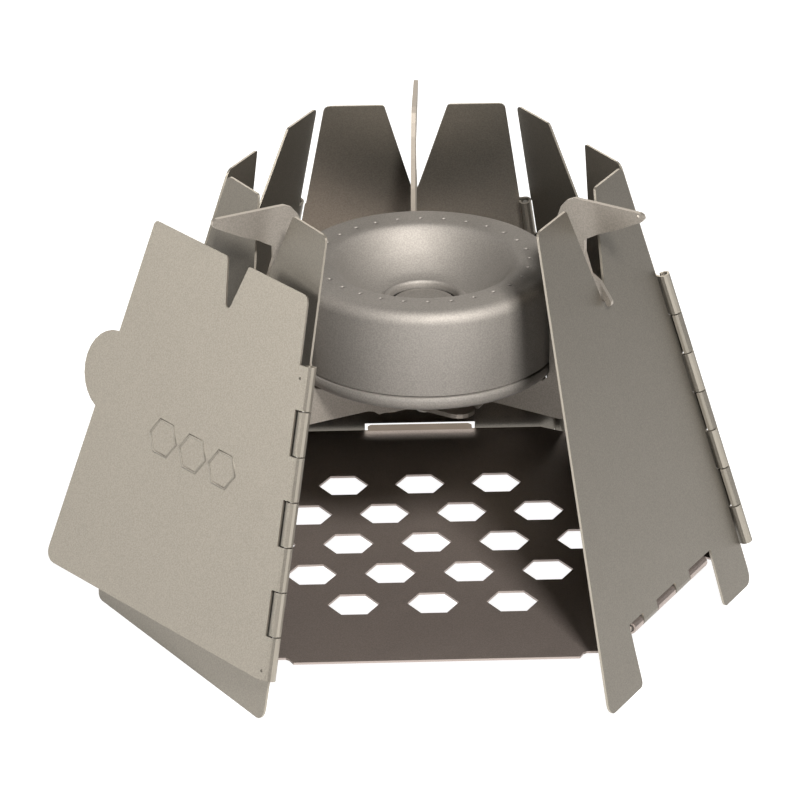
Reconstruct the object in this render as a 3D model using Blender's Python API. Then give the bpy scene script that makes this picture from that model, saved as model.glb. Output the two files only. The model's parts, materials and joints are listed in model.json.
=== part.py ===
"""Folding six-sided sheet-metal stove body with a round alcohol burner on three arms.

Metres, +Z up, ground at z = 0.  Inside this file lengths are in millimetres and are
scaled once, when a mesh is made.  Wall panels are numbered clockwise seen from above:
0 door (front), 1 left front, 2 left back, 3 back, 4 right back, 5 right front.
A hinge is named by its corner: corner i lies between panel i and panel i + 1.
"""
import math

import bpy
import bmesh
from mathutils import Matrix, Vector

MM = 0.001
AXIS_X, AXIS_Y = 5.08, -0.14          # place of the six-sided wall's upright centre line

# ---- wall panels
HEIGHT = 102.0
APOTHEM_BOTTOM, APOTHEM_TOP = 64.2, 37.53
LEAN = (APOTHEM_BOTTOM - APOTHEM_TOP) / HEIGHT
SLANT = math.sqrt(1.0 + LEAN * LEAN)
SHEET = 0.5
TAN30 = math.tan(math.pi / 6)
COS30 = math.cos(math.pi / 6)
NOTCH_TIP_Z = 78.0                    # where the two sides of a V notch would meet
NOTCH_HALF_TOP = 7.18
NOTCH_ROUND = 0.85                    # radius at the bottom of the V
NOTCH_ROUND_Z = 80.1
EDGE_RELIEF_OUT, EDGE_RELIEF_IN = 1.1, 1.7
FOOT_RELIEF = 0.95
FREE_EDGE_TOP, FREE_EDGE_BOTTOM = 21.0, 37.9
CORNER_ROUND_TOP, CORNER_ROUND_FOOT = 1.6, 2.2

# ---- rolled hinges
HINGE_Z_LOW, HINGE_Z_HIGH = 9.6, 76.0
KNUCKLES = 7
BARREL_R, BORE_R, PIN_R = 1.4, 0.9, 0.6
CURL_DEG = 280.0
CURL_STEPS = 10
KNUCKLE_GAP = 0.3
PIN_SHORT = 0.6                       # a pin stops this far inside its end knuckles
TOOTH_END = 0.3                       # how near the barrel's foot line a sheet tooth runs
STRAP = 2.2
CUTOUT = 1.5
SKIN = 0.01
STEP = 0.02                           # a tooth is this much narrower than its knuckle
OUTSIDE, INSIDE = 1.4, -0.9           # barrel centre from the sheet's inner face, outward
CORNERS = {0: OUTSIDE, 1: INSIDE, 2: OUTSIDE, 3: INSIDE, 4: OUTSIDE}

# ---- door
DOOR_TOP, DOOR_BOTTOM = 89.5, 9.0
DOOR_OPEN_DEG = 226.7
DOOR_HINGE_RELIEF = 1.3
DOOR_TOP_ROUND, DOOR_FOOT_ROUND, DOOR_NOTCH_ROUND = 1.2, 2.5, 0.7
DOOR_FREE_TOP, DOOR_FREE_BOTTOM = 27.2, 36.6
TAB_U, TAB_Z, TAB_R = 29.2, 54.4, 9.1
TAB_START_DEG, TAB_END_DEG = -71.0, 84.0

# ---- floor plate and its hinge
FLOOR_TOP = 11.0
FLOOR_AXIS_Z = FLOOR_TOP + BORE_R
FLOOR_APOTHEM = 60.5
FLOOR_FRONT, FLOOR_SHOULDER, FLOOR_LIP_HALF = 57.4, 55.0, 31.0
FLOOR_CORNER_CUT = 4.6
FLOOR_CORNER_X = 37.6                 # front corner, measured across
FLOOR_SIDE_FRONT = 27.5               # how far the two front sides run forward
FLOOR_EDGE_STEP = 0.8                 # small bevels of the tab
FLOOR_TAB_HALF, FLOOR_TAB_END = 12.2, 63.4
SLOT_HALF, SLOT_LOW, SLOT_HIGH = 12.9, 9.7, 12.5
TAB_MID = -2.0                        # tab and slot lie this far along the back panel
LEG_HALF, LEG_TOP = 21.0, 13.9
LEG_FLARE, LEG_ROUND = 0.8, 1.2
HINGE_RECESS = 1.5                    # floor edge cut back beside its hinge
FLOOR_PIN_PROUD = 1.2                 # the floor pin stands out past its end knuckles
HOLE_R, HOLE_PITCH, HOLE_ROW = 5.7, 17.55, 15.2
HOLE_SHIFT = Vector((0.54, 0.40, 0.0))   # the grid is this far off the centre line
HOLE_ROWS = (3, 4, 5, 4, 3)
FLOOR_KNUCKLES = ((-18.6, -14.6, "floor"), (-14.2, -7.2, "wall"), (-6.8, 2.0, "floor"),
                  (2.4, 9.4, "wall"), (9.8, 18.6, "floor"))

# ---- burner
TURN = 40
BURNER_R, BURNER_TOP, BURNER_BOTTOM = 29.9, 80.4, 56.9
SKIRT_Z = 60.9
BEAD_R, BEAD_CENTRE = 3.1, 27.2       # rounded lower edge and the circle it is struck from
BEAD_BEVEL = 0.2
LIP_R, LIP_TOP, LIP_GAP = 29.05, 65.2, 0.35    # the pan's lip, inside the shell
JETS, JET_CIRCLE, JET_R, JET_TURN_DEG = 28, 23.3, 0.45, 5.5
RIM_R = 3.0                           # rounded outer edge of the rim
HUB_TURN = 24                         # sides of the small turned pieces
WELL_R, CAP_HOLE_R = 7.6, 0.85
STUD_R, STUD_BORE = 1.3, 1.6

# ---- arms
ARM_HALF = 0.5
ARM_ASIDE, ARM_TURN_DEG = 3.34, -4.4  # the plate stands on its leaf's side and is turned to meet
                                      # the middle of its notch
LEAF = 1.0
LEAF_HALF, LEAF_END, EYE_R = 3.5, 12.6, 3.6
ARM_TOP = 102.0
ARMS = {"arm_right": (5, 45.6), "arm_left": (1, 46.9), "arm_back": (3, 48.2)}


# ------------------------------------------------------------------ frames
def outward(j):
    """Level direction out through panel j."""
    a = math.radians(60 * j)
    return Vector((-math.sin(a), -math.cos(a), 0.0))


def along(j):
    """Level direction along panel j."""
    return Vector((0.0, 0.0, 1.0)).cross(outward(j))


def apothem(z):
    return APOTHEM_BOTTOM - LEAN * z


def corner_u(z):
    """Half width of a panel's inner face at height z, up to the meeting corner."""
    return apothem(z) * TAN30


def face_normal(j):
    return (outward(j) + Vector((0.0, 0.0, LEAN))) / SLANT


def on_panel(j, u, z, depth=0.0):
    """Point of panel j: u along it, height z, depth outward from its inner face."""
    return outward(j) * (apothem(z) + depth * SLANT) + along(j) * u + Vector((0, 0, z))


def corner_point(i, z, off):
    """Point of corner i's barrel axis at height z."""
    radius = (apothem(z) + off * SLANT) / COS30
    a = math.radians(60 * (i + 0.5))
    return Vector((-math.sin(a) * radius, -math.cos(a) * radius, z))


def corner_dir(i):
    off = CORNERS[i]
    return (corner_point(i, HEIGHT, off) - corner_point(i, 0.0, off)).normalized()


def knuckle_z():
    """Heights of the ends of the knuckles, top first, measured on the barrel axis."""
    step = (HINGE_Z_HIGH - HINGE_Z_LOW) / KNUCKLES
    return [HINGE_Z_HIGH - step * n for n in range(KNUCKLES + 1)]


# ------------------------------------------------------------------ meshes
def place(points):
    shift = Vector((AXIS_X, AXIS_Y, 0.0))
    return [(p + shift) * MM for p in points]


def mesh_object(name, verts, faces):
    mesh = bpy.data.meshes.new(name)
    mesh.from_pydata([tuple(v) for v in place(verts)], [], faces)
    bm = bmesh.new()
    bm.from_mesh(mesh)
    bmesh.ops.recalc_face_normals(bm, faces=bm.faces)
    bm.to_mesh(mesh)
    bm.free()
    obj = bpy.data.objects.new(name, mesh)
    bpy.context.scene.collection.objects.link(obj)
    return obj


def prism(low, high):
    """Vertices and faces of a prism between two outlines of equal length."""
    n = len(low)
    faces = [tuple(range(n)), tuple(range(2 * n - 1, n - 1, -1))]
    faces += [(k, (k + 1) % n, n + (k + 1) % n, n + k) for k in range(n)]
    return list(low) + list(high), faces


def merge(parts):
    verts, faces = [], []
    for v, f in parts:
        base = len(verts)
        verts += v
        faces += [tuple(base + k for k in face) for face in f]
    return verts, faces


def bake(obj, other, operation):
    """Boolean obj with other, keep the result in obj, drop other."""
    mod = obj.modifiers.new("join", "BOOLEAN")
    mod.operation = operation
    mod.solver = "EXACT"
    mod.object = other
    graph = bpy.context.evaluated_depsgraph_get()
    result = bpy.data.meshes.new_from_object(obj.evaluated_get(graph))
    obj.modifiers.clear()
    obj.data = result
    bpy.data.objects.remove(other, do_unlink=True)
    return obj


def weld(obj, dist=0.00001):
    bm = bmesh.new()
    bm.from_mesh(obj.data)
    bmesh.ops.remove_doubles(bm, verts=bm.verts, dist=dist)
    bmesh.ops.recalc_face_normals(bm, faces=bm.faces)
    bm.to_mesh(obj.data)
    bm.free()
    return obj


def set_origin(obj, point):
    """Move the object's origin to a point of the joint axis, geometry staying put."""
    world = (point + Vector((AXIS_X, AXIS_Y, 0.0))) * MM
    obj.data.transform(Matrix.Translation(-world))
    obj.location = world


def shade(obj, degrees=35.0):
    for poly in obj.data.polygons:
        poly.use_smooth = True
    obj.data.set_sharp_from_angle(angle=math.radians(degrees))


def lathe(name, profile, turn=TURN, smooth=30.0):
    """Turn a closed (radius, z) outline about the centre line."""
    verts, rings = [], []
    for r, z in profile:
        if r < 1e-6:
            rings.append([len(verts)])
            verts.append(Vector((0.0, 0.0, z)))
            continue
        rings.append(list(range(len(verts), len(verts) + turn)))
        for k in range(turn):
            a = 2 * math.pi * k / turn
            verts.append(Vector((r * math.cos(a), r * math.sin(a), z)))
    faces = []
    for a, b in zip(rings, rings[1:] + rings[:1]):
        for k in range(turn):
            m = (k + 1) % turn
            if len(a) == 1 and len(b) == 1:
                break
            if len(a) == 1:
                faces.append((a[0], b[k], b[m]))
            elif len(b) == 1:
                faces.append((a[k], a[m], b[0]))
            else:
                faces.append((a[k], a[m], b[m], b[k]))
    obj = mesh_object(name, verts, faces)
    shade(obj, smooth)
    return obj


def rod(start, end, radius, sides=20):
    """Closed round rod between two points, in millimetres."""
    axis = (end - start).normalized()
    side = axis.orthogonal().normalized()
    other = axis.cross(side)
    ring = [side * math.cos(2 * math.pi * k / sides) * radius
            + other * math.sin(2 * math.pi * k / sides) * radius for k in range(sides)]
    return prism([start + p for p in ring], [end + p for p in ring])


def round_corner(before, at, after, radius, steps=4):
    """Points that replace a corner of a flat outline by an arc."""
    a = Vector(before) - Vector(at)
    b = Vector(after) - Vector(at)
    a.normalize()
    b.normalize()
    half = a.angle(b) / 2
    reach = radius / math.tan(half)
    centre = Vector(at) + (a + b).normalized() * (radius / math.sin(half))
    start = Vector(at) + a * reach - centre
    end = Vector(at) + b * reach - centre
    sweep = math.atan2(start.x * end.y - start.y * end.x, start.dot(end))
    points = []
    for k in range(steps + 1):
        t = sweep * k / steps
        c, s = math.cos(t), math.sin(t)
        points.append((centre.x + start.x * c - start.y * s,
                       centre.y + start.x * s + start.y * c))
    return points


def rounded(outline):
    """Outline of (u, z, radius) corners turned into plain (u, z) points."""
    points = []
    n = len(outline)
    for k, (u, z, radius) in enumerate(outline):
        if radius <= 0:
            points.append((u, z))
        else:
            points += round_corner(outline[k - 1][:2], (u, z), outline[(k + 1) % n][:2], radius)
    return points


# ------------------------------------------------------------------ hinges
def knuckle(start, end, sheet_dir, barrel_dir):
    """One rolled knuckle: a strap lying in its sheet, then a curl round the barrel axis."""
    outer, inner = BARREL_R - SKIN, BORE_R + SKIN
    profile = [(STRAP, -outer)]
    for k in range(CURL_STEPS + 1):
        b = math.radians(CURL_DEG) * k / CURL_STEPS
        profile.append((-math.sin(b) * outer, -math.cos(b) * outer))
    for k in range(CURL_STEPS, -1, -1):
        b = math.radians(CURL_DEG) * k / CURL_STEPS
        profile.append((-math.sin(b) * inner, -math.cos(b) * inner))
    profile.append((STRAP, -inner))
    ring = [sheet_dir * w + barrel_dir * n for w, n in profile]
    return prism([start + p for p in ring], [end + p for p in ring])


def hinge_axis_span(i, z_high, z_low):
    """Ends of one knuckle on corner i's axis, with the running gap taken off."""
    off = CORNERS[i]
    top, low = corner_point(i, z_high, off), corner_point(i, z_low, off)
    half_gap = corner_dir(i) * (KNUCKLE_GAP / 2)
    return top - half_gap, low + half_gap


def panel_knuckles(j, i):
    """Panel j's knuckles on corner i: the odd ones if the panel comes first, else the even."""
    first = i == j
    side = -1.0 if first else 1.0
    normal = face_normal(j)
    barrel_dir = normal if CORNERS[i] > 0 else -normal
    axis = corner_dir(i)
    sheet_dir = (along(j) * -side)
    sheet_dir = (sheet_dir - axis * sheet_dir.dot(axis)).normalized()
    if sheet_dir.dot(along(j)) * side > 0:
        sheet_dir = -sheet_dir
    edges = knuckle_z()
    parts = []
    for n in range(KNUCKLES):
        if (n % 2 == 0) == first:
            top, low = hinge_axis_span(i, edges[n], edges[n + 1])
            parts.append(knuckle(low, top, sheet_dir, barrel_dir))
    return parts


def side_edge(j, i, top_relief, bottom_z, bottom_relief, top_z=HEIGHT):
    """Panel edge at corner i, top to bottom: (u, z, radius) with teeth for its knuckles."""
    first = i == j
    side = -1.0 if first else 1.0
    off = CORNERS[i]
    slope_dir = Vector((-TAN30 * LEAN / SLANT, 1.0)).normalized()      # up along the edge
    inward = Vector((-slope_dir.y, slope_dir.x))                       # into the panel

    def to_uz(z_axis, w, shift):
        foot_z = z_axis - abs(off) * LEAN / SLANT * (1 if off > 0 else -1)
        u = (apothem(foot_z) + off / SLANT) * TAN30
        p = Vector((u, foot_z * SLANT)) + slope_dir * shift + inward * w
        return side * p.x, p.y / SLANT

    edges = knuckle_z()
    out = [(side * (corner_u(top_z) - top_relief), top_z, CORNER_ROUND_TOP)]
    for n in range(KNUCKLES):
        mine = (n % 2 == 0) == first
        w = TOOTH_END if mine else CUTOUT
        gap = KNUCKLE_GAP / 2 + STEP if mine else -KNUCKLE_GAP / 2
        if n == 0:
            lead = top_relief + (off / SLANT) * TAN30
            u, z = to_uz(edges[0], max(lead, 0.0) * COS30 + 0.1, -gap)
            out.append((u, z, 0))
        u, z = to_uz(edges[n], w, -gap)
        out.append((u, z, 0))
        u, z = to_uz(edges[n + 1], w, gap)
        out.append((u, z, 0))
    if mine:
        u, z = to_uz(edges[-1], CUTOUT, gap)
        out.append((u, z, 0))
    out.append((side * (corner_u(bottom_z) - bottom_relief), bottom_z, CORNER_ROUND_FOOT))
    return out


def v_notch(top_z, round_u=0.9):
    """V notch from left to right seen in (u, z), its bottom rounded."""
    slope = NOTCH_HALF_TOP / (HEIGHT - NOTCH_TIP_Z)
    half = slope * (top_z - NOTCH_TIP_Z)
    points = [(half, top_z, round_u)]
    tilt = math.atan(slope)
    for k in range(7):
        a = -tilt - (math.pi - 2 * tilt) * k / 6
        points.append((NOTCH_ROUND * math.cos(a), NOTCH_ROUND_Z + NOTCH_ROUND * math.sin(a), 0))
    points.append((-half, top_z, round_u))
    return points


def sheet(name, j, outline, parts):
    """Extrude a panel outline level by the sheet thickness and join its knuckles on."""
    points = rounded(outline)
    verts, faces = prism([on_panel(j, u, z, 0.0) for u, z in points],
                         [on_panel(j, u, z, SHEET) for u, z in points])
    obj = mesh_object(name, verts, faces)
    if parts:
        bake(obj, mesh_object(name + "_curls", *merge(parts)), "UNION")
    return weld(obj)


def panel_outline(j):
    """Full outline of wall panel j, clockwise from its +u top corner."""
    plus, minus = j - 1, j              # corners met on the +u and -u sides
    out = []
    relief = {OUTSIDE: EDGE_RELIEF_OUT, INSIDE: EDGE_RELIEF_IN}
    if plus in CORNERS:
        out += side_edge(j, plus, relief[CORNERS[plus]], 0.0, FOOT_RELIEF)
    if minus in CORNERS:
        left = side_edge(j, minus, relief[CORNERS[minus]], 0.0, FOOT_RELIEF)
    else:
        left = [(-FREE_EDGE_TOP, HEIGHT, CORNER_ROUND_TOP),
                (-FREE_EDGE_BOTTOM, 0.0, CORNER_ROUND_FOOT)]
    return out, list(reversed(left))


# ------------------------------------------------------------------ wall pieces
def build_panel(name, j):
    right, left = panel_outline(j)
    outline = right
    if j == 5:
        outline = outline + leg_notch()
    outline = outline + left + list(reversed(v_notch(HEIGHT)))
    parts = []
    for i in (j - 1, j):
        if i in CORNERS:
            parts += panel_knuckles(j, i)
    if j == 5:
        parts += wall_floor_knuckles()
    obj = sheet(name, j, outline, parts)
    if j == 3:
        low = [on_panel(3, u, z, -3.0) for u, z in slot_corners()]
        high = [on_panel(3, u, z, 3.0) for u, z in slot_corners()]
        bake(obj, mesh_object("slot_cutter", *prism(low, high)), "DIFFERENCE")
        weld(obj)
    shade(obj)
    return obj


def slot_corners():
    low, high = TAB_MID - SLOT_HALF, TAB_MID + SLOT_HALF
    return ((low, SLOT_LOW), (high, SLOT_LOW), (high, SLOT_HIGH), (low, SLOT_HIGH))


def floor_axis(u):
    """Point of the floor hinge axis on the right-front panel."""
    return (outward(5) * (apothem(FLOOR_AXIS_Z) - BORE_R * SLANT) + along(5) * u
            + Vector((0, 0, FLOOR_AXIS_Z)))


def leg_notch():
    """Leg cut-out of the right-front panel, +u side first, toothed for the floor hinge."""
    tooth_z = FLOOR_AXIS_Z + BORE_R * LEAN / SLANT + TOOTH_END / SLANT
    cut_z = LEG_TOP
    out = [(LEG_HALF + LEG_FLARE, 0.0, LEG_ROUND), (LEG_HALF, cut_z, 0)]
    for low, high, owner in reversed(FLOOR_KNUCKLES):
        if owner == "wall":
            low, high = low + STEP, high - STEP
            out += [(high, cut_z, 0), (high, tooth_z, 0), (low, tooth_z, 0), (low, cut_z, 0)]
    out += [(-LEG_HALF, cut_z, 0), (-LEG_HALF, 0.0, LEG_ROUND)]
    return out


def wall_floor_knuckles():
    normal = face_normal(5)
    up = Vector((0, 0, 1)) - normal * normal.z
    parts = []
    for low, high, owner in FLOOR_KNUCKLES:
        if owner == "wall":
            parts.append(knuckle(floor_axis(low), floor_axis(high), up.normalized(), -normal))
    return parts


def build_door():
    """The short front panel, made shut and then swung open on its corner."""
    hinge_side = side_edge(0, 0, DOOR_HINGE_RELIEF, DOOR_BOTTOM, FOOT_RELIEF, DOOR_TOP)
    hinge_side[-1] = (hinge_side[-1][0], DOOR_BOTTOM, 0)
    tab = []
    for k in range(13):
        a = math.radians(TAB_END_DEG + (TAB_START_DEG - TAB_END_DEG) * k / 12)
        tab.append((TAB_U + TAB_R * math.cos(a), TAB_Z + TAB_R * math.sin(a), 0))
    outline = [(DOOR_FREE_TOP, DOOR_TOP, DOOR_TOP_ROUND)] + tab
    outline += [(DOOR_FREE_BOTTOM, DOOR_BOTTOM, DOOR_FOOT_ROUND)]
    outline += list(reversed(hinge_side)) + list(reversed(v_notch(DOOR_TOP, DOOR_NOTCH_ROUND)))
    obj = sheet("door_panel", 0, outline, panel_knuckles(0, 0))
    swing_door(obj)
    shade(obj)
    return obj


def swing_door(obj):
    base = (corner_point(0, 0.0, CORNERS[0]) + Vector((AXIS_X, AXIS_Y, 0.0))) * MM
    turn = Matrix.Rotation(math.radians(-DOOR_OPEN_DEG), 4, corner_dir(0))
    obj.data.transform(Matrix.Translation(base) @ turn @ Matrix.Translation(-base))


def build_pin(name, i):
    axis = corner_dir(i)
    start = corner_point(i, HINGE_Z_LOW, CORNERS[i]) + axis * PIN_SHORT
    end = corner_point(i, HINGE_Z_HIGH, CORNERS[i]) - axis * PIN_SHORT
    obj = mesh_object(name, *rod(start, end, PIN_R))
    shade(obj)
    return obj


def build_floor_pin():
    start = floor_axis(FLOOR_KNUCKLES[0][0] - FLOOR_PIN_PROUD)
    end = floor_axis(FLOOR_KNUCKLES[-1][1] + FLOOR_PIN_PROUD)
    obj = mesh_object("hinge_pin_floor", *rod(start, end, PIN_R))
    shade(obj)
    return obj


# ------------------------------------------------------------------ floor
def floor_outline():
    """Plan outline of the floor as (x, y) points, anticlockwise."""
    points = []
    for j in (0, 5, 4, 3, 2, 1):
        n, t = outward(j), along(j)
        if j == 0:
            side = [(-FLOOR_CORNER_X, FLOOR_SHOULDER), (-FLOOR_LIP_HALF - 1.6, FLOOR_SHOULDER),
                    (-FLOOR_LIP_HALF - 0.9, FLOOR_SHOULDER + 0.5),
                    (-FLOOR_LIP_HALF, FLOOR_FRONT), (FLOOR_LIP_HALF, FLOOR_FRONT),
                    (FLOOR_LIP_HALF + 0.9, FLOOR_SHOULDER + 0.5),
                    (FLOOR_LIP_HALF + 1.6, FLOOR_SHOULDER), (FLOOR_CORNER_X, FLOOR_SHOULDER)]
        elif j == 5:
            side = hinge_side_of_floor()
        elif j == 3:
            e = FLOOR_APOTHEM * TAN30 - FLOOR_CORNER_CUT
            low, high = TAB_MID - FLOOR_TAB_HALF, TAB_MID + FLOOR_TAB_HALF
            side = [(-e, FLOOR_APOTHEM), (low, FLOOR_APOTHEM),
                    (low, FLOOR_TAB_END - FLOOR_EDGE_STEP), (low + FLOOR_EDGE_STEP, FLOOR_TAB_END),
                    (high - FLOOR_EDGE_STEP, FLOOR_TAB_END), (high, FLOOR_TAB_END - FLOOR_EDGE_STEP),
                    (high, FLOOR_APOTHEM), (e, FLOOR_APOTHEM)]
        else:
            e = FLOOR_APOTHEM * TAN30 - FLOOR_CORNER_CUT
            side = [(-e, FLOOR_APOTHEM), (e, FLOOR_APOTHEM)]
            if j == 1:
                side[1] = (FLOOR_SIDE_FRONT, FLOOR_APOTHEM)
        points += [n * r + t * u for u, r in side]
    return points


def hinge_side_of_floor():
    """Floor edge along the right-front wall, toothed for its own knuckles."""
    foot = floor_axis(0.0).dot(outward(5))
    tooth, cut = foot - TOOTH_END, foot - BARREL_R - KNUCKLE_GAP
    side = [(-FLOOR_SIDE_FRONT, FLOOR_APOTHEM), (-LEG_HALF - HINGE_RECESS, FLOOR_APOTHEM),
            (-LEG_HALF - HINGE_RECESS, cut)]
    for low, high, owner in FLOOR_KNUCKLES:
        if owner == "floor":
            low, high = low + STEP, high - STEP
            side += [(low, cut), (low, tooth), (high, tooth), (high, cut)]
    e = FLOOR_APOTHEM * TAN30 - FLOOR_CORNER_CUT
    side += [(LEG_HALF + HINGE_RECESS, cut), (LEG_HALF + HINGE_RECESS, FLOOR_APOTHEM), (e, FLOOR_APOTHEM)]
    return side


def floor_holes():
    parts = []
    rows = len(HOLE_ROWS)
    for row, count in enumerate(HOLE_ROWS):
        y = ((rows - 1) / 2 - row) * HOLE_ROW + HOLE_SHIFT.y
        for k in range(count):
            x = (k - (count - 1) / 2) * HOLE_PITCH + HOLE_SHIFT.x
            ring = [Vector((x + HOLE_R * math.cos(math.radians(60 * m)),
                            y + HOLE_R * math.sin(math.radians(60 * m)), 0)) for m in range(6)]
            parts.append(prism([p + Vector((0, 0, FLOOR_TOP - 2)) for p in ring],
                               [p + Vector((0, 0, FLOOR_TOP + 2)) for p in ring]))
    return parts


def build_floor():
    plan = floor_outline()
    low = [p + Vector((0, 0, FLOOR_TOP - SHEET)) for p in plan]
    high = [p + Vector((0, 0, FLOOR_TOP)) for p in plan]
    obj = mesh_object("floor_plate", *prism(low, high))
    inward = -outward(5)
    curls = [knuckle(floor_axis(a), floor_axis(b), inward, Vector((0, 0, 1)))
             for a, b, owner in FLOOR_KNUCKLES if owner == "floor"]
    bake(obj, mesh_object("floor_curls", *merge(curls)), "UNION")
    bake(obj, mesh_object("floor_cutter", *merge(floor_holes())), "DIFFERENCE")
    weld(obj)
    shade(obj)
    return obj


# ------------------------------------------------------------------ burner
def offset_profile(points, thickness):
    """Close an open (r, z) line into a thin wall by offsetting it to its right."""
    back = []
    for k, p in enumerate(points):
        a = Vector(points[max(k - 1, 0)])
        b = Vector(points[min(k + 1, len(points) - 1)])
        d = (b - a).normalized()
        back.append((p[0] + d.y * thickness, p[1] - d.x * thickness))
    return list(points) + list(reversed(back))


def arc_points(cr, cz, radius, start, end, steps):
    return [(cr + radius * math.cos(math.radians(start + (end - start) * k / steps)),
             cz + radius * math.sin(math.radians(start + (end - start) * k / steps)))
            for k in range(steps + 1)]


def build_shell():
    """Rim, dish and side wall in one pressed shell, open underneath and at the well."""
    line = [(WELL_R, 70.2), (WELL_R, 71.2)]
    line += arc_points(8.4, 71.3, 0.75, 170, 30, 3)
    line += [(9.5, 71.3), (12.0, 72.2), (15.2, 74.5), (17.7, 77.1), (19.5, 79.3),
             (21.2, BURNER_TOP)]
    line += arc_points(BURNER_R - RIM_R, BURNER_TOP - RIM_R, RIM_R, 90, 0, 4)
    line += [(BURNER_R, SKIRT_Z)]
    obj = lathe("burner_shell", offset_profile(line, SHEET))
    jets = []
    for k in range(JETS):
        a = 2 * math.pi * (k + 0.5) / JETS + math.radians(JET_TURN_DEG)
        c = Vector((JET_CIRCLE * math.cos(a), JET_CIRCLE * math.sin(a), BURNER_TOP - 1.2))
        jets.append(rod(c, c + Vector((0, 0, 2.0)), JET_R, 6))
    bake(obj, mesh_object("jet_cutter", *merge(jets)), "DIFFERENCE")
    weld(obj, 0.000002)
    shade(obj, 30.0)
    return obj


def build_base():
    """Pan that closes the shell: flat bottom, rounded edge, lip up inside the shell."""
    middle = BURNER_BOTTOM + BEAD_R
    shoulder = SKIRT_Z - LIP_GAP
    line = [(STUD_BORE, BURNER_BOTTOM)] + arc_points(BEAD_CENTRE, middle, BEAD_R, -90, 0, 5)
    line += [(BEAD_CENTRE + BEAD_R - BEAD_BEVEL, shoulder), (LIP_R, shoulder), (LIP_R, LIP_TOP)]
    wall = [(LIP_R - SHEET, LIP_TOP), (LIP_R - SHEET, middle)]
    wall += arc_points(BEAD_CENTRE, middle, BEAD_R - SHEET, 0, -90, 5)
    wall += [(STUD_BORE, BURNER_BOTTOM + SHEET)]
    return lathe("burner_base", line + wall)


def build_cap():
    """Well disc with its small centre hole and a short skirt."""
    profile = [(CAP_HOLE_R, 70.8), (5.6, 70.75), (6.8, 70.55), (7.25, 70.1), (7.25, 68.2),
               (6.75, 68.2), (6.75, 70.0), (6.5, 70.15), (5.5, 70.25), (CAP_HOLE_R, 70.3)]
    return lathe("burner_cap", profile, HUB_TURN)


def build_spacer():
    return lathe("hub_spacer", [(STUD_BORE, 49.5), (3.2, 49.5), (3.2, 56.6), (STUD_BORE, 56.6)],
                 HUB_TURN)


def build_rivet():
    profile = [(0.0, 43.6), (0.9, 43.75), (1.6, 44.1), (2.1, 44.7), (2.2, 45.3), (STUD_R, 45.3),
               (STUD_R, 57.7), (2.4, 57.7), (2.3, 58.3), (1.4, 58.7), (0.0, 58.8)]
    return lathe("hub_rivet", profile, HUB_TURN)


# ------------------------------------------------------------------ arms
def arm_profile(leaf_z):
    """Upright plate of an arm as (radius from the centre line, z)."""
    root = leaf_z + LEAF / 2
    return [(6.0, root), (6.0, 56.4), (27.2, 56.4), (29.0, 57.0), (30.1, 58.2), (30.5, 59.6),
            (30.5, 84.5), (31.2, 91.5), (32.0, 96.5), (33.0, 99.4), (34.5, 101.2),
            (36.2, ARM_TOP), (52.6, ARM_TOP), (53.4, 101.6), (53.6, 100.8), (53.0, 100.0),
            (47.3, 97.0), (42.6, 95.0), (39.0, 92.9), (39.0, 90.0), (40.6, 85.2),
            (42.9, 83.8), (45.1, 80.8), (45.8, 79.7), (45.85, 79.0), (45.4, 78.5),
            (44.9, 78.45), (44.6, 78.9), (44.3, 79.65), (43.0, 79.65), (42.3, 78.9),
            (41.4, 76.5), (39.9, 70.0), (37.9, 61.0), (36.4, 53.5), (35.6, 50.4),
            (34.6, 49.1), (33.2, 48.7), (16.0, 48.7), (14.6, 48.3), (13.3, 47.3),
            (12.3, max(root, 46.1))]


def leaf_outline():
    """Plan of an arm's foot leaf: an eye round the stud and a tongue along the arm."""
    points = []
    for k in range(9):
        a = math.radians(90 + 180 * k / 8)
        points.append((EYE_R * math.cos(a), EYE_R * math.sin(a)))
    centre = LEAF_END - LEAF_HALF
    for k in range(9):
        a = math.radians(-90 + 180 * k / 8)
        points.append((centre + LEAF_HALF * math.cos(a), LEAF_HALF * math.sin(a)))
    return points


def build_arm(name):
    j, leaf_z = ARMS[name]
    turn = Matrix.Rotation(math.radians(ARM_TURN_DEG), 3, "Z")
    n, t = turn @ outward(j), turn @ along(j)
    profile = arm_profile(leaf_z)
    low = [n * r + Vector((0, 0, z)) + t * (ARM_ASIDE - ARM_HALF) for r, z in profile]
    high = [n * r + Vector((0, 0, z)) + t * (ARM_ASIDE + ARM_HALF) for r, z in profile]
    obj = mesh_object(name, *prism(low, high))
    plan = leaf_outline()
    low = [n * a + t * b + Vector((0, 0, leaf_z)) for a, b in plan]
    high = [n * a + t * b + Vector((0, 0, leaf_z + LEAF)) for a, b in plan]
    bake(obj, mesh_object(name + "_leaf", *prism(low, high)), "UNION")
    bore = rod(Vector((0, 0, leaf_z - 2)), Vector((0, 0, leaf_z + 3)), STUD_BORE, HUB_TURN)
    bake(obj, mesh_object(name + "_bore", *bore), "DIFFERENCE")
    weld(obj)
    shade(obj)
    return obj


# ------------------------------------------------------------------ materials
def material(name, color, metallic, roughness):
    mat = bpy.data.materials.new(name)
    mat.use_nodes = True
    shader = mat.node_tree.nodes["Principled BSDF"]
    shader.inputs["Base Color"].default_value = (*color, 1.0)
    shader.inputs["Metallic"].default_value = metallic
    shader.inputs["Roughness"].default_value = roughness
    return mat


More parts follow.
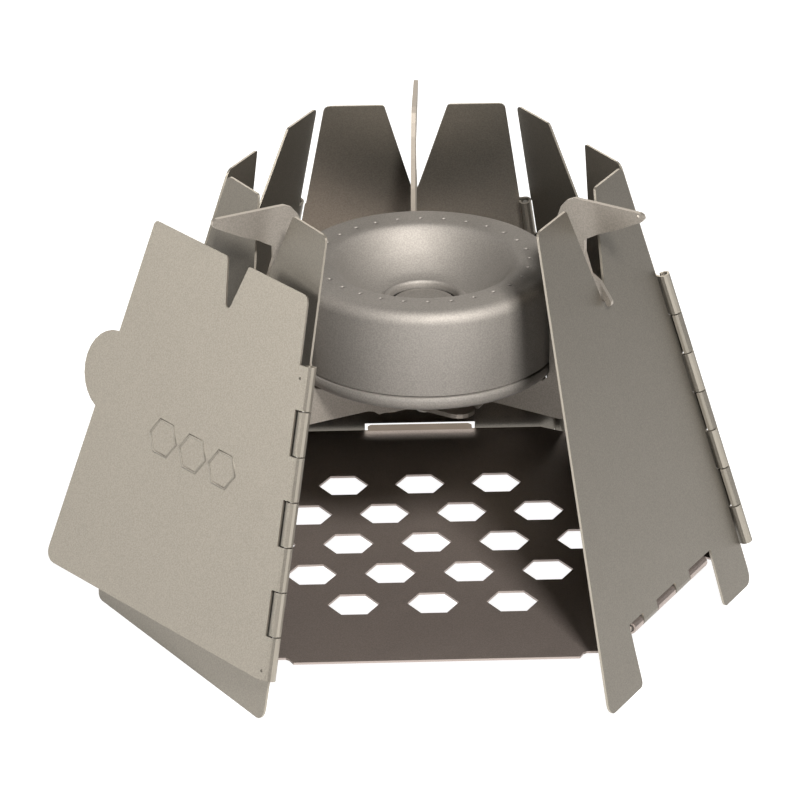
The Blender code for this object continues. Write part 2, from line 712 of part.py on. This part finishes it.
def dress(objects):
    """Give every sub-part its own satin metal."""
    tones = {"panel": (0.42, 0.40, 0.36), "floor": (0.20, 0.18, 0.17), "pin": (0.55, 0.54, 0.52),
             "burner": (0.45, 0.44, 0.42), "hub": (0.50, 0.49, 0.47), "arm": (0.48, 0.46, 0.42)}
    for obj in objects:
        key = next(k for k in ("pin", "panel", "floor", "burner", "hub", "arm") if k in obj.name)
        obj.data.materials.clear()
        obj.data.materials.append(material(obj.name + "_metal", tones[key], 0.85, 0.42))


# ------------------------------------------------------------------ build
def place_origins(built):
    """Each moving piece turns or slides about its own origin."""
    on_corner = {"door_panel": 0, "hinge_pin_front_left": 0, "left_front_panel": 1,
                 "hinge_pin_left": 1, "left_back_panel": 2, "hinge_pin_back_left": 2,
                 "right_back_panel": 3, "hinge_pin_back_right": 3, "right_front_panel": 4,
                 "hinge_pin_right": 4}
    for name, i in on_corner.items():
        set_origin(built[name], corner_point(i, HINGE_Z_LOW, CORNERS[i]))
    for name in ("floor_plate", "hinge_pin_floor"):
        set_origin(built[name], floor_axis(0.0))
    for name in ("burner_shell", "burner_base", "burner_cap", "hub_spacer", "hub_rivet",
                 "arm_left", "arm_right", "arm_back"):
        set_origin(built[name], Vector((0, 0, BURNER_BOTTOM)))


def main():
    for obj in list(bpy.data.objects):
        bpy.data.objects.remove(obj, do_unlink=True)
    walls = {"left_front_panel": 1, "left_back_panel": 2, "back_panel": 3,
             "right_back_panel": 4, "right_front_panel": 5}
    built = {name: build_panel(name, j) for name, j in walls.items()}
    built["door_panel"] = build_door()
    pins = {"hinge_pin_front_left": 0, "hinge_pin_left": 1, "hinge_pin_back_left": 2,
            "hinge_pin_back_right": 3, "hinge_pin_right": 4}
    for name, i in pins.items():
        built[name] = build_pin(name, i)
    built["hinge_pin_floor"] = build_floor_pin()
    built["floor_plate"] = build_floor()
    for maker in (build_shell, build_base, build_cap, build_spacer, build_rivet):
        obj = maker()
        built[obj.name] = obj
    for name in ARMS:
        built[name] = build_arm(name)
    place_origins(built)
    dress(built.values())


main()
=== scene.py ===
"""Looks of the folding hexagonal stove: satin bead-blasted metal in soft studio light."""
import json
import math

import bmesh
import bpy
from mathutils import Matrix, Vector


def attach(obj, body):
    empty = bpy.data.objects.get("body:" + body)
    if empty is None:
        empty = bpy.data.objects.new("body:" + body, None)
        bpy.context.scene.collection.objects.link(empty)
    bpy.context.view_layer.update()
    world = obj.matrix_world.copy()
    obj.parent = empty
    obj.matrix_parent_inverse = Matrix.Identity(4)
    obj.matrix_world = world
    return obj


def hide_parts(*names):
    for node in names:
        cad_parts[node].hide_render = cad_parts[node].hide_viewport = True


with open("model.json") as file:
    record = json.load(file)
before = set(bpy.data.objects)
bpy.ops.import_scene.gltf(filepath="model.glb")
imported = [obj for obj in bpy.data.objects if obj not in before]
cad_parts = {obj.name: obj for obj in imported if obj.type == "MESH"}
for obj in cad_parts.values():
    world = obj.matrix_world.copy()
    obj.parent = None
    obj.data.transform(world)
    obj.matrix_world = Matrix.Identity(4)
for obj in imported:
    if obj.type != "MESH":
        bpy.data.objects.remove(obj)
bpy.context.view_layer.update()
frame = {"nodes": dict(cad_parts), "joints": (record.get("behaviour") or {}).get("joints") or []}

MM = 0.001
JOINTS = {j["name"]: j for j in frame["joints"]}
HUB = Vector(JOINTS["arm_back_pivot"]["pos_m"])          # on the wall's upright centre line
CENTRE = Vector((HUB.x, HUB.y, 0.0))

# ---- camera
CAMERA_DISTANCE = 1304.86
CAMERA_ELEVATION, CAMERA_AZIMUTH, CAMERA_ROLL = 24.731, -2.527, -0.099
CAMERA_AIM = Vector((-5.353, 0.0, 46.494))
CAMERA_LENS, CAMERA_SENSOR = 263.96, 36.0
CAMERA_NEAR, CAMERA_FAR = 0.05, 20.0

# ---- burner, in millimetres from the centre line
TURN = 224
SHEET = 0.5
BURNER_R, BURNER_TOP, BURNER_BOTTOM, SKIRT_Z = 29.9, 80.4, 56.9, 60.9
RIM_R = 3.0
BEAD_R, BEAD_CENTRE = 3.1, 27.2
SKIRT_EASE_R, SKIRT_EASE_Z = 0.12, 0.25                  # skirt's lower edge drawn in a little
LIP_R, LIP_TOP = 29.05, 65.2
SEAM_GAP = 0.2                                           # pan's shoulder below the skirt
SEAM_IN, PAN_EASE_R, PAN_EASE_Z = 0.3, 0.15, 0.1
WELL_R, WELL_LOW, WELL_HIGH = 7.6, 70.2, 71.2
WELL_LIP_R, WELL_LIP_CENTRE, WELL_LIP_Z = 0.75, 8.4, 71.3
BOWL = ((9.5, 71.3), (12.0, 72.2), (15.2, 74.5), (17.7, 77.1), (19.5, 79.3),
        (20.5, 80.15), (21.4, BURNER_TOP))               # radius and height of the dish
JETS, JET_CIRCLE, JET_R, JET_TURN_DEG = 28, 23.3, 0.45, 5.5
JET_SIDES, JET_DOWN, JET_UP = 12, 1.4, 1.0
JET_RINGS = (-1.2, -0.8, 0.8, 1.2)                       # edge rings either side of the jet circle
STUD_BORE = 1.6

# ---- metal tones
PANEL_TONE, FLOOR_TONE = (0.200, 0.184, 0.158), (0.300, 0.258, 0.238)
ARM_TONE, BURNER_TONE = (0.30, 0.275, 0.245), (0.280, 0.264, 0.245)
TAB_PAINTED_SHADE, TAB_DEPTH = (0.165, 0.128, 0.096), 3.4         # floor plate's tab, past the slot, toned darker as painted shade
PIN_TONE, HUB_TONE = (0.50, 0.48, 0.45), (0.36, 0.34, 0.31)
# the crimp dots are darkened as painted shade and the arm-tip dots brightened as a painted
# highlight
CAP_SHADE, MARK_SHADE, CRIMP_PAINTED_SHADE, TIP_PAINTED_HIGHLIGHT = 1.15, 0.9, 0.45, 1.9
PANEL_ROUGH, FLOOR_ROUGH, PIN_ROUGH, HUB_ROUGH = 0.45, 0.5, 0.35, 0.45
ARM_ROUGH = {"arm_left": 0.55, "arm_right": 0.55, "arm_back": 0.80}
BURNER_ROUGH, CAP_ROUGH = 0.70, 0.65
MARK_ROUGH, CRIMP_ROUGH, TIP_ROUGH = 0.42, 0.6, 0.35
SHEET_GRAIN, ARM_GRAIN, BURNER_GRAIN = 0.35, 0.55, 0.45
CAP_GRAIN, HUB_GRAIN, PIN_GRAIN = 0.3, 0.25, 0.15
METAL_SHARE, BURNER_METAL_SHARE = 0.9, 0.85
PANEL_EDGE_HIGHLIGHT, FLOOR_EDGE_HIGHLIGHT, ARM_EDGE_HIGHLIGHT = 1.8, 1.3, 1.4         # painted highlight: how much paler the cut edges are painted
PANEL_SOFT, FLOOR_SOFT, ARM_SOFT = 0.09, 0.08, 0.12      # bevel widths in millimetres
SOFT_ANGLE_DEG, SMOOTH_DEG = 40.0, 30.0

# ---- bead-blasted surface
CLOUD_SCALE, CLOUD_DETAIL, CLOUD_SWING = 55.0, 4.0, 0.02
SPECK_SCALE, SPECK_SWING, SPECK_IN = 3200.0, 0.20, (0.38, 0.62)
ROUGH_SCALE, ROUGH_DOWN, ROUGH_UP = 240.0, 0.01, 0.015
GRAIN_SCALE, GRAIN_DEPTH = 2600.0, 0.00005
EDGE_HIGHLIGHT_IN = (0.25, 0.75)

# ---- studio
GROUND_GREY, GROUND_NEAR, GROUND_FAR = 0.30, 0.97, 0.30
GROUND_FALL, GROUND_HALF, GROUND_DROP = (0.30, 0.62), 3.0, 0.0002
WORLD_LIGHT = 0.01
LIGHTS = (                                               # name, place, aim, size, watts, colour
    ("key", (0.30, -1.02, 1.08), (0, 0, 0.06), (0.26, 0.26), 52.0, (1.0, 0.97, 0.93)),
    ("left card", (-1.25, -0.30, 0.40), (0, 0, 0.05), (0.7, 0.5), 12.0, (1.0, 0.98, 0.94)),
    ("back card", (0.0, 1.4, 0.55), (0, 0, 0.04), (1.0, 0.5), 6.5, (1.0, 0.95, 0.88)),
)

# ---- plain mark on the door
MARK_ACROSS, MARK_UP = 30.5, 43.4
MARK_PITCH, MARK_R, MARK_WIRE, MARK_SUNK = 9.6, 4.2, 0.46, 0.66
MARK_TILT_DEG, MARK_SIDES, MARK_WIRE_ROUND = 8.3, 6, 4

# ---- small dots: hinge crimps and arm tips, in millimetres
DOT_ROUND, DOT_RINGS = 20, 12
CRIMP_UP, CRIMP_R, CRIMP_ASIDE, CRIMP_SUNK = (2.1, 66.4), 0.34, 1.3, 0.12
TIP_INSET, TIP_R, TIP_REACH = 1.3, 0.52, 0.4


# ------------------------------------------------------------------ materials
class Nodes:
    """Short hand for building one material's node tree."""

    def __init__(self, name):
        self.mat = bpy.data.materials.new(name)
        self.mat.use_nodes = True
        self.tree = self.mat.node_tree
        self.shader = self.tree.nodes["Principled BSDF"]
        self.coords = self.tree.nodes.new("ShaderNodeTexCoord")

    def add(self, kind, **values):
        node = self.tree.nodes.new(kind)
        for key, value in values.items():
            setattr(node, key, value)
        return node

    def link(self, a, b):
        self.tree.links.new(a, b)

    def noise(self, scale, detail=3.0, rough=0.55):
        node = self.add("ShaderNodeTexNoise")
        node.inputs["Scale"].default_value = scale
        node.inputs["Detail"].default_value = detail
        node.inputs["Roughness"].default_value = rough
        self.link(self.coords.outputs["Object"], node.inputs["Vector"])
        return node.outputs["Fac"]

    def spread(self, value, low, high, low_in=0.3, high_in=0.7):
        node = self.add("ShaderNodeMapRange")
        node.inputs["From Min"].default_value = low_in
        node.inputs["From Max"].default_value = high_in
        node.inputs["To Min"].default_value = low
        node.inputs["To Max"].default_value = high
        self.link(value, node.inputs["Value"])
        return node.outputs["Result"]

    def mix(self, factor, a, b):
        node = self.add("ShaderNodeMix", data_type="RGBA")
        self.link(factor, node.inputs["Factor"])
        for value, socket in ((a, node.inputs[6]), (b, node.inputs[7])):
            if isinstance(value, tuple):
                socket.default_value = (*value, 1.0)
            else:
                self.link(value, socket)
        return node.outputs[2]

    def grain(self, scale, distance, strength):
        bump = self.add("ShaderNodeBump")
        bump.inputs["Strength"].default_value = strength
        bump.inputs["Distance"].default_value = distance
        self.link(self.noise(scale, 2.0), bump.inputs["Height"])
        self.link(bump.outputs["Normal"], self.shader.inputs["Normal"])


def shade_of(color, factor):
    return tuple(min(1.0, c * factor) for c in color)


def blasted(name, color, rough, grain=SHEET_GRAIN, face_normal=None, edge_highlight=1.0, metal=METAL_SHARE):
    """Bead-blasted metal: fine pitted grain, faint cloudy tone, cut edges painted paler as a
    highlight.
    """
    n = Nodes(name)
    n.shader.inputs["Metallic"].default_value = metal
    cloud = n.spread(n.noise(CLOUD_SCALE, CLOUD_DETAIL), 0.0, 1.0)
    speck = n.spread(n.noise(SPECK_SCALE, 2.0), 0.0, 1.0, *SPECK_IN)
    tone = n.mix(cloud, shade_of(color, 1.0 - CLOUD_SWING), shade_of(color, 1.0 + CLOUD_SWING))
    fine = n.mix(speck, shade_of(color, 1.0 - SPECK_SWING), shade_of(color, 1.0 + SPECK_SWING))
    blend = n.add("ShaderNodeMix", data_type="RGBA")
    blend.inputs["Factor"].default_value = 0.5
    n.link(tone, blend.inputs[6])
    n.link(fine, blend.inputs[7])
    result = blend.outputs[2]
    # faces across the sheet's main face are its cut edges, painted paler as a highlight
    if face_normal is not None:
        dot = n.add("ShaderNodeVectorMath", operation="DOT_PRODUCT")
        dot.inputs[1].default_value = face_normal
        n.link(n.coords.outputs["Normal"], dot.inputs[0])
        size = n.add("ShaderNodeMath", operation="ABSOLUTE")
        n.link(dot.outputs["Value"], size.inputs[0])
        edge_highlight_mask = n.spread(size.outputs[0], 1.0, 0.0, *EDGE_HIGHLIGHT_IN)
        result = n.mix(edge_highlight_mask, result, shade_of(color, edge_highlight))
    n.link(result, n.shader.inputs["Base Color"])
    n.link(n.spread(n.noise(ROUGH_SCALE), rough - ROUGH_DOWN, rough + ROUGH_UP),
           n.shader.inputs["Roughness"])
    n.grain(GRAIN_SCALE, GRAIN_DEPTH, grain)
    return n.mat


def paint_shade_beyond(mat, reach, color):
    """Give the part of a sheet further back than reach another tone, used as painted shade."""
    tree = mat.node_tree
    shader = tree.nodes["Principled BSDF"]
    old = shader.inputs["Base Color"].links[0].from_socket
    coords = tree.nodes.new("ShaderNodeTexCoord")
    parts = tree.nodes.new("ShaderNodeSeparateXYZ")
    tree.links.new(coords.outputs["Object"], parts.inputs[0])
    beyond = tree.nodes.new("ShaderNodeMath")
    beyond.operation = "GREATER_THAN"
    beyond.inputs[1].default_value = reach
    tree.links.new(parts.outputs["Y"], beyond.inputs[0])
    mix = tree.nodes.new("ShaderNodeMix")
    mix.data_type = "RGBA"
    tree.links.new(beyond.outputs[0], mix.inputs["Factor"])
    tree.links.new(old, mix.inputs[6])
    mix.inputs[7].default_value = (*color, 1.0)
    tree.links.new(mix.outputs[2], shader.inputs["Base Color"])


def main_normal(obj):
    """Normal of the widest face of a sheet piece."""
    return max(obj.data.polygons, key=lambda p: p.area).normal.copy()


def dress(obj, mat):
    if not obj.data.materials:
        obj.data.materials.append(mat)
    for slot in obj.material_slots:
        slot.material = mat


def soften(obj, width, segments=2):
    """Break a piece's sharp edges so that they catch the light."""
    mod = obj.modifiers.new("softened edges", "BEVEL")
    mod.width = width * MM
    mod.segments = segments
    mod.limit_method = "ANGLE"
    mod.angle_limit = math.radians(SOFT_ANGLE_DEG)
    mod.harden_normals = True


# ------------------------------------------------------------------ meshes
def mesh_piece(name, verts, faces, mat):
    """Piece from points in millimetres about the centre line."""
    mesh = bpy.data.meshes.new(name)
    mesh.from_pydata([tuple(CENTRE + Vector(v) * MM) for v in verts], [], faces)
    bm = bmesh.new()
    bm.from_mesh(mesh)
    bmesh.ops.recalc_face_normals(bm, faces=bm.faces)
    bm.to_mesh(mesh)
    bm.free()
    obj = bpy.data.objects.new(name, mesh)
    bpy.context.scene.collection.objects.link(obj)
    obj.data.materials.append(mat)
    for poly in mesh.polygons:
        poly.use_smooth = True
    mesh.set_sharp_from_angle(angle=math.radians(SMOOTH_DEG))
    return obj


def turned(name, profile, mat):
    """Turn a closed (radius, z) outline about the centre line."""
    verts, faces = [], []
    for r, z in profile:
        for k in range(TURN):
            a = 2 * math.pi * k / TURN
            verts.append((r * math.cos(a), r * math.sin(a), z))
    count = len(profile)
    for i in range(count):
        j = (i + 1) % count
        for k in range(TURN):
            m = (k + 1) % TURN
            faces.append((i * TURN + k, i * TURN + m, j * TURN + m, j * TURN + k))
    return mesh_piece(name, verts, faces, mat)


def arc(cr, cz, radius, start, end, steps):
    angles = [math.radians(start + (end - start) * k / steps) for k in range(steps + 1)]
    return [(cr + radius * math.cos(a), cz + radius * math.sin(a)) for a in angles]


def smooth_line(points, steps=6):
    """Catmull-Rom curve through the points."""
    ends = [points[0]] + list(points) + [points[-1]]
    out = []
    for p, q, r, s in zip(ends, ends[1:], ends[2:], ends[3:]):
        for k in range(steps):
            t = k / steps
            out.append(tuple(0.5 * (2 * b + (c - a) * t + (2 * a - 5 * b + 4 * c - d) * t * t
                                    + (3 * b - a - 3 * c + d) * t ** 3)
                             for a, b, c, d in zip(p, q, r, s)))
    out.append(tuple(points[-1]))
    return out


def thicken(line, thickness):
    back = []
    for k, p in enumerate(line):
        a, b = Vector(line[max(k - 1, 0)]), Vector(line[min(k + 1, len(line) - 1)])
        d = (b - a).normalized()
        back.append((p[0] + d.y * thickness, p[1] - d.x * thickness))
    return list(line) + back[::-1]


def cut(obj, cutter):
    """Take cutter out of obj for good."""
    mod = obj.modifiers.new("cut", "BOOLEAN")
    mod.operation, mod.solver, mod.object = "DIFFERENCE", "EXACT", cutter
    graph = bpy.context.evaluated_depsgraph_get()
    obj.data = bpy.data.meshes.new_from_object(obj.evaluated_get(graph))
    obj.modifiers.clear()
    bpy.data.objects.remove(cutter, do_unlink=True)


# ------------------------------------------------------------------ burner
def jet_cutter(mat):
    verts, faces = [], []
    sides = JET_SIDES
    for k in range(JETS):
        a = 2 * math.pi * (k + 0.5) / JETS + math.radians(JET_TURN_DEG)
        x, y, base = JET_CIRCLE * math.cos(a), JET_CIRCLE * math.sin(a), len(verts)
        for z in (BURNER_TOP - JET_DOWN, BURNER_TOP + JET_UP):
            verts += [(x + JET_R * math.cos(2 * math.pi * s / sides),
                       y + JET_R * math.sin(2 * math.pi * s / sides), z) for s in range(sides)]
        faces.append(tuple(range(base, base + sides)))
        faces.append(tuple(range(base + 2 * sides - 1, base + sides - 1, -1)))
        for s in range(sides):
            t = (s + 1) % sides
            faces.append((base + s, base + t, base + sides + t, base + sides + s))
    return mesh_piece("jet_cutter", verts, faces, mat)


def build_shell(mat):
    line = [(WELL_R, WELL_LOW), (WELL_R, WELL_HIGH)]
    line += arc(WELL_LIP_CENTRE, WELL_LIP_Z, WELL_LIP_R, 170, 30, 8)
    line += smooth_line(BOWL)
    line += [(JET_CIRCLE + offset, BURNER_TOP) for offset in JET_RINGS]
    line += arc(BURNER_R - RIM_R, BURNER_TOP - RIM_R, RIM_R, 90, 0, 14)
    line += [(BURNER_R, SKIRT_Z + SKIRT_EASE_Z), (BURNER_R - SKIRT_EASE_R, SKIRT_Z)]
    shell = turned("burner_body", thicken(line, SHEET), mat)
    cut(shell, jet_cutter(mat))
    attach(shell, "burner")
    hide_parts("burner_shell")


def build_pan(mat):
    """Bottom pan, its rounded edge and the lip inside the shell."""
    middle, shoulder = BURNER_BOTTOM + BEAD_R, SKIRT_Z - SEAM_GAP
    line = [(STUD_BORE, BURNER_BOTTOM)] + arc(BEAD_CENTRE, middle, BEAD_R, -90, 0, 16)
    line += [(BEAD_CENTRE + BEAD_R - PAN_EASE_R, shoulder - PAN_EASE_Z),
             (BURNER_R - SEAM_IN, shoulder), (LIP_R, shoulder), (LIP_R, LIP_TOP)]
    wall = [(LIP_R - SHEET, LIP_TOP), (LIP_R - SHEET, middle)]
    wall += arc(BEAD_CENTRE, middle, BEAD_R - SHEET, 0, -90, 12)
    wall += [(STUD_BORE, BURNER_BOTTOM + SHEET)]
    pan = turned("burner_pan", line + wall, mat)
    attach(pan, "burner")
    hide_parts("burner_base")


# ------------------------------------------------------------------ door mark
def door_frame():
    """Origin on the door hinge, then across the sheet, up the hinge, and the sheet's seen side."""
    door = frame["nodes"]["door_panel"]
    face = max((p for p in door.data.polygons if p.normal.y < 0), key=lambda p: p.area)
    hinge = JOINTS["door_hinge"]
    up = Vector(hinge["axis"]).normalized()
    origin = Vector(hinge["pos_m"])
    normal = face.normal.copy()
    across = up.cross(normal).normalized()
    if across.dot(face.center - origin) < 0:
        across = -across
    depth = max((v.co - origin).dot(normal) for v in
                (door.data.vertices[i] for i in face.vertices))
    return origin, across, up, normal, depth


def build_mark(mat):
    """Row of three plain hexagons pressed up out of the door sheet."""
    origin, across, up, normal, depth = door_frame()
    tilt = math.radians(MARK_TILT_DEG)
    row = across * math.cos(tilt) + up * math.sin(tilt)
    rise = up * math.cos(tilt) - across * math.sin(tilt)
    middle = origin + (across * MARK_ACROSS + up * MARK_UP) * MM + normal * depth
    for n, name in zip((-1, 0, 1), ("door_mark_near", "door_mark_middle", "door_mark_far")):
        curve = bpy.data.curves.new(name, "CURVE")
        curve.dimensions = "3D"
        curve.bevel_depth = MARK_WIRE * MM
        curve.bevel_resolution = MARK_WIRE_ROUND
        spline = curve.splines.new("POLY")
        spline.points.add(MARK_SIDES - 1)
        spline.use_cyclic_u = True
        spot = middle + row * (n * MARK_PITCH * MM) - normal * (MARK_WIRE * MARK_SUNK * MM)
        for k in range(MARK_SIDES):
            a = math.radians(360 * k / MARK_SIDES)
            p = spot + (row * math.cos(a) + rise * math.sin(a)) * (MARK_R * MM)
            spline.points[k].co = (*p, 1.0)
        curve.materials.append(mat)
        obj = bpy.data.objects.new(name, curve)
        bpy.context.scene.collection.objects.link(obj)
        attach(obj, "door")


# ------------------------------------------------------------------ small dots
def dot(name, spot, radius, mat, body, slot_name):
    mesh = bpy.data.meshes.new(name)
    bm = bmesh.new()
    bmesh.ops.create_uvsphere(bm, u_segments=DOT_ROUND, v_segments=DOT_RINGS, radius=radius * MM)
    bm.to_mesh(mesh)
    bm.free()
    for poly in mesh.polygons:
        poly.use_smooth = True
    mesh.transform(Matrix.Translation(spot))
    mesh.materials.append(mat)
    obj = bpy.data.objects.new(name, mesh)
    bpy.context.scene.collection.objects.link(obj)
    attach(obj, body)


def build_crimps(mat):
    """Small crimps that hold the pin in the door's end knuckles, painted dark as the shade in
    their dents.
    """
    origin, across, up, normal, depth = door_frame()
    for name, rise in zip(("door_crimp_low", "door_crimp_high"), CRIMP_UP):
        spot = origin + (up * rise + across * CRIMP_ASIDE - normal * CRIMP_SUNK) * MM
        dot(name, spot + normal * depth, CRIMP_R, mat, "door", "panel_metal")


def build_tip_dots(mat):
    """Dot near the outer tip of each side arm, painted bright as a highlight."""
    for side in ("left", "right"):
        points = [v.co for v in frame["nodes"]["arm_" + side].data.vertices]
        reach = max(math.hypot(p.x - HUB.x, p.y - HUB.y) for p in points)
        near = [p for p in points if math.hypot(p.x - HUB.x, p.y - HUB.y) > reach - TIP_REACH * MM]
        tip = sum(near, Vector()) / len(near)
        inward = Vector((HUB.x - tip.x, HUB.y - tip.y, 0.0)).normalized()
        dot("arm_tip_" + side, tip + inward * (TIP_INSET * MM), TIP_R, mat,
            side + "_arm", "arm_metal")


# ------------------------------------------------------------------ studio
def build_floor():
    """White ground round the stove, falling off to grey well outside the picture."""
    n = Nodes("studio_floor")
    n.shader.inputs["Base Color"].default_value = (GROUND_GREY, GROUND_GREY, GROUND_GREY, 1.0)
    n.shader.inputs["Roughness"].default_value = 1.0
    n.shader.inputs["Emission Color"].default_value = (1.0, 1.0, 1.0, 1.0)
    reach = n.add("ShaderNodeVectorMath", operation="LENGTH")
    n.link(n.coords.outputs["Object"], reach.inputs[0])
    n.link(n.spread(reach.outputs["Value"], GROUND_NEAR, GROUND_FAR, *GROUND_FALL),
           n.shader.inputs["Emission Strength"])
    mesh = bpy.data.meshes.new("studio_floor")
    h = GROUND_HALF
    mesh.from_pydata([(-h, -h, 0), (h, -h, 0), (h, h, 0), (-h, h, 0)], [], [(0, 1, 2, 3)])
    mesh.materials.append(n.mat)
    floor = bpy.data.objects.new("studio_floor", mesh)
    floor.location.z = -GROUND_DROP
    bpy.context.scene.collection.objects.link(floor)


def add_light(name, spot, aim, size, power, color):
    light = bpy.data.lights.new(name, "AREA")
    light.shape, light.size, light.size_y = "RECTANGLE", size[0], size[1]
    light.energy, light.color = power, color
    obj = bpy.data.objects.new(name, light)
    obj.location = spot
    obj.rotation_euler = (Vector(aim) - Vector(spot)).to_track_quat("-Z", "Y").to_euler()
    bpy.context.scene.collection.objects.link(obj)


def build_lights():
    world = bpy.data.worlds.new("studio")
    world.use_nodes = True
    background = world.node_tree.nodes["Background"]
    background.inputs["Color"].default_value = (1.0, 1.0, 1.0, 1.0)
    background.inputs["Strength"].default_value = WORLD_LIGHT
    bpy.context.scene.world = world
    for light in LIGHTS:
        add_light(*light)


def build_camera():
    az, el = math.radians(CAMERA_AZIMUTH), math.radians(CAMERA_ELEVATION)
    back = Vector((math.sin(az) * math.cos(el), -math.cos(az) * math.cos(el), math.sin(el)))
    right = (-back).cross(Vector((0, 0, 1))).normalized()
    up = back.cross(right)
    basis = Matrix((right, up, back)).transposed()
    basis = basis @ Matrix.Rotation(math.radians(CAMERA_ROLL), 3, "Z")
    spot = CENTRE + (CAMERA_AIM + back * CAMERA_DISTANCE) * MM
    camera = bpy.data.cameras.new("camera")
    camera.lens, camera.sensor_width, camera.sensor_fit = CAMERA_LENS, CAMERA_SENSOR, "HORIZONTAL"
    camera.clip_start, camera.clip_end = CAMERA_NEAR, CAMERA_FAR
    obj = bpy.data.objects.new("camera", camera)
    obj.matrix_world = Matrix.Translation(spot) @ basis.to_4x4()
    bpy.context.scene.collection.objects.link(obj)
    bpy.context.scene.camera = obj


# ------------------------------------------------------------------ build
def dress_sheet(name, tone, rough, grain, edge_highlight, soft):
    """Own material, cut edges painted paler as a highlight, and a small bevel for one sheet piece.
    """
    obj = frame["nodes"][name]
    dress(obj, blasted(name + "_metal", tone, rough, grain, main_normal(obj), edge_highlight))
    soften(obj, soft)


def dress_floor():
    floor = frame["nodes"]["floor_plate"]
    dress(floor, blasted("floor_metal", FLOOR_TONE, FLOOR_ROUGH, SHEET_GRAIN,
                         Vector((0, 0, 1)), FLOOR_EDGE_HIGHLIGHT))
    back_edge = max(v.co.y for v in floor.data.vertices)
    # the tab past the back wall is toned darker than the rest of the plate: painted shade
    paint_shade_beyond(floor.data.materials[0], back_edge - TAB_DEPTH * MM, TAB_PAINTED_SHADE)
    soften(floor, FLOOR_SOFT)


def dress_cad():
    """Materials and softened edges of the CAD pieces that are shown as they are."""
    nodes = frame["nodes"]
    wire = blasted("pin_metal", PIN_TONE, PIN_ROUGH, PIN_GRAIN)
    hub = blasted("hub_metal", HUB_TONE, HUB_ROUGH, HUB_GRAIN)
    for name, obj in nodes.items():
        if name.endswith("_panel"):
            dress_sheet(name, PANEL_TONE, PANEL_ROUGH, SHEET_GRAIN, PANEL_EDGE_HIGHLIGHT, PANEL_SOFT)
        elif name.startswith("arm_"):
            dress_sheet(name, ARM_TONE, ARM_ROUGH[name], ARM_GRAIN, ARM_EDGE_HIGHLIGHT, ARM_SOFT)
        elif name.startswith("hinge_pin"):
            dress(obj, wire)
        elif name.startswith("hub"):
            dress(obj, hub)
    dress_floor()
    cap_tone = shade_of(BURNER_TONE, CAP_SHADE)
    dress(nodes["burner_cap"], blasted("cap_metal", cap_tone, CAP_ROUGH, CAP_GRAIN))


def main():
    dress_cad()
    shell_metal = blasted("burner_metal", BURNER_TONE, BURNER_ROUGH, BURNER_GRAIN,
                          metal=BURNER_METAL_SHARE)
    build_shell(shell_metal)
    build_pan(shell_metal)
    build_mark(blasted("mark_metal", shade_of(PANEL_TONE, MARK_SHADE), MARK_ROUGH))
    # crimp dots painted dark: painted shade of the dents
    build_crimps(blasted("crimp_painted_shade", shade_of(PANEL_TONE, CRIMP_PAINTED_SHADE), CRIMP_ROUGH))
    # arm-tip dots painted pale: painted highlight
    build_tip_dots(blasted("tip_painted_highlight", shade_of(ARM_TONE, TIP_PAINTED_HIGHLIGHT), TIP_ROUGH))
    build_floor()
    build_lights()
    build_camera()
    bpy.context.scene.view_settings.view_transform = "Standard"


main()
